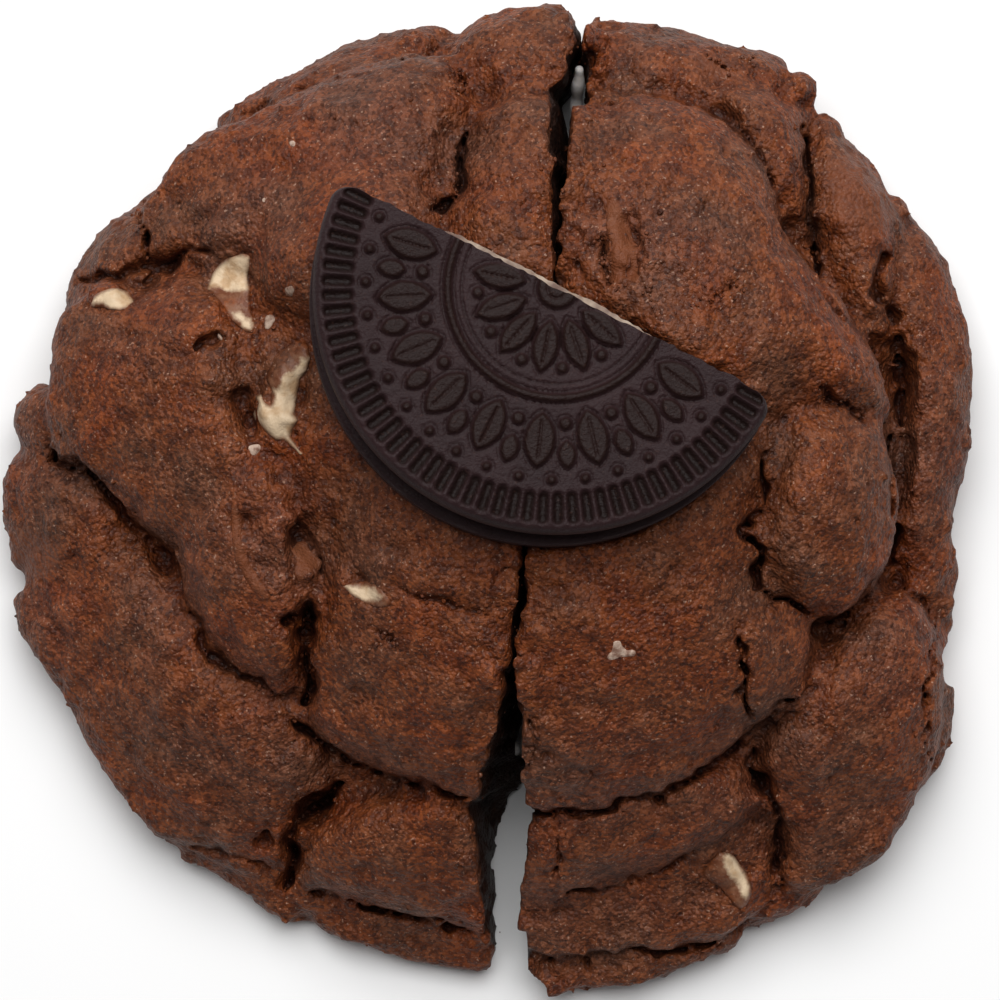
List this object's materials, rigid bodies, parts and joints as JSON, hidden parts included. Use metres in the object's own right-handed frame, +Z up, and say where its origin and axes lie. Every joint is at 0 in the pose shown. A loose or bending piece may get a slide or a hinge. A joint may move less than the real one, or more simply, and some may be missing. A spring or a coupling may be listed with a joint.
{
  "type": "stuffed chocolate cookie",
  "caption": "Thick domed chocolate cookie cut into halves that sit together, with a white core, chocolate chips and half of a dark sandwich biscuit pressed into its top.",
  "frame": {"origin": "middle of the cookie's outline, on the table it rests on", "axes": "+Z up through the dome; +Y towards the back of the cookie; the knife cut runs roughly along Y"},
  "size_m": [0.096, 0.0976, 0.0403],
  "materials": {
    "dough": "baked cocoa dough, dry and finely cracked",
    "wafer": "dark cocoa wafer, slight sheen",
    "cream": "white biscuit cream",
    "core": "soft white filling",
    "white_chip": "white chocolate",
    "milk_chip": "milk chocolate, partly melted"
  },
  "bodies": {
    "root": {"dough_left": "dough", "dough_right": "dough", "filling_left": "core", "filling_right": "core", "biscuit_wafer_bottom": "wafer", "biscuit_cream": "cream", "biscuit_wafer_top": "wafer", "white_chip_left_back": "white_chip", "white_chip_left_edge": "white_chip", "white_chip_by_biscuit": "white_chip", "white_chip_front_left": "white_chip", "white_chip_front": "white_chip", "milk_chip_back": "milk_chip", "milk_chip_left": "milk_chip", "milk_chip_left_front": "milk_chip"}
  },
  "joints": []
}
